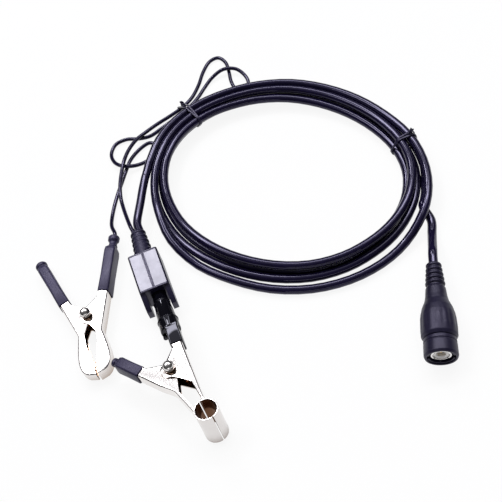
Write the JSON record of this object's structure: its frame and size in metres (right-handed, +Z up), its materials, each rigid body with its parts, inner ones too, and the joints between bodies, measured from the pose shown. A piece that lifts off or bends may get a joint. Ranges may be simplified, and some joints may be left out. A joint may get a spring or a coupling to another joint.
{
  "type": "oscilloscope probe",
  "caption": "Clip-on ignition pick-up probe: bayonet plug, tied coil of coaxial cable, divider case, split-sleeve spring clip and a ground clip on its own lead.",
  "frame": {"origin": "centre of the divider case's base, on the surface the probe lies on", "axes": "+Z up, +Y along the case towards its cable, +X to the right when looking along +Y, towards the coil"},
  "size_m": [0.1883, 0.212, 0.0196],
  "materials": {
    "case_plastic": "fine moulded black plastic, semi-gloss",
    "face_plate": "pale cool grey, satin",
    "cable_boot_vinyl": "soft black vinyl, satin",
    "circuit_board": "green board",
    "ceramic": "glazed ceramic",
    "resistor": "lacquered",
    "cable_jacket": "smooth black jacket, semi-gloss",
    "lead_jacket": "smooth black jacket, satin",
    "stem_plastic": "glossy black moulding",
    "wire_insulation": "red insulation",
    "clip_nickel": "bright nickel plate on steel",
    "sleeve_nickel": "bright nickel plate on brass",
    "spring_steel": "plated spring wire",
    "clip_boot_vinyl": "soft dark vinyl, satin",
    "lug_brass": "tinned brass",
    "plug_vinyl": "moulded black vinyl, satin",
    "connector_nickel": "bright nickel plate",
    "white_insulator": "white fluoropolymer",
    "contact_gold": "gold plate",
    "gasket_rubber": "silicone rubber",
    "tie_plastic": "black plastic-covered wire"
  },
  "bodies": {
    "root": {"case_left": "case_plastic", "case_right": "case_plastic", "face_plate_left": "face_plate", "face_plate_right": "face_plate", "case_cable_boot": "cable_boot_vinyl", "circuit_board": "circuit_board", "series_capacitor": "ceramic", "shunt_capacitor": "ceramic", "damping_resistor": "resistor", "coax_tail_case": "cable_jacket", "ground_tail_case": "lead_jacket", "stem_boot": "stem_plastic", "signal_wire": "wire_insulation", "pickup_fixed_arm": "clip_nickel", "pickup_fixed_sleeve": "sleeve_nickel", "pickup_pivot_rivet": "clip_nickel", "pickup_spring": "spring_steel", "ground_fixed_jaw": "clip_nickel", "ground_pivot_rivet": "clip_nickel", "ground_spring": "spring_steel", "ground_lead_boot": "clip_boot_vinyl", "ground_lead_lug": "lug_brass", "plug_boot": "plug_vinyl", "plug_body": "connector_nickel", "plug_insulator": "white_insulator", "plug_centre_pin": "contact_gold", "plug_crimp_ferrule": "connector_nickel", "plug_gasket": "gasket_rubber", "plug_wave_spring": "spring_steel", "coax_tail_plug": "cable_jacket", "coax_case_lead": "cable_jacket", "coax_coil": "cable_jacket", "coax_plug_lead": "cable_jacket", "ground_lead": "lead_jacket", "coil_tie_left": "tie_plastic", "coil_tie_right": "tie_plastic"},
    "pickup_jaw": {"pickup_lever": "clip_nickel", "pickup_moving_sleeve": "sleeve_nickel", "pickup_lever_boot": "clip_boot_vinyl"},
    "ground_jaw": {"ground_moving_jaw": "clip_nickel", "ground_lever_boot": "clip_boot_vinyl"},
    "plug_slide": {"plug_thrust_washer": "connector_nickel"},
    "plug_coupling": {"plug_bayonet_sleeve": "plug_vinyl", "plug_grip_ring": "plug_vinyl"}
  },
  "joints": [
    {"name": "pickup_hinge", "type": "hinge", "parent": "root", "child": "pickup_jaw", "pos_m": [-0.0047, -0.052, 0.01162], "axis": [0, -0.1219, -0.9925], "range_deg": [0, 42], "stiffness_Nm_per_rad": 0.06, "springref_deg": -34.38, "deforming": ["pickup_spring"]},
    {"name": "ground_hinge", "type": "hinge", "parent": "root", "child": "ground_jaw", "pos_m": [-0.0321, -0.0066, 0.0043], "axis": [0, 0, -1], "range_deg": [0, 40], "stiffness_Nm_per_rad": 0.06, "springref_deg": -34.38, "deforming": ["ground_spring"]},
    {"name": "plug_pull", "type": "slide", "parent": "root", "child": "plug_slide", "axis": [-0.3746, -0.9272, 0], "range_m": [0, 0.0008], "stiffness_N_per_m": 4000, "springref_m": -0.0006, "deforming": ["plug_wave_spring"]},
    {"name": "plug_turn", "type": "hinge", "parent": "plug_slide", "child": "plug_coupling", "pos_m": [0.09891, -0.08188, 0.0075], "axis": [-0.3746, -0.9272, 0], "continuous": true}
  ]
}
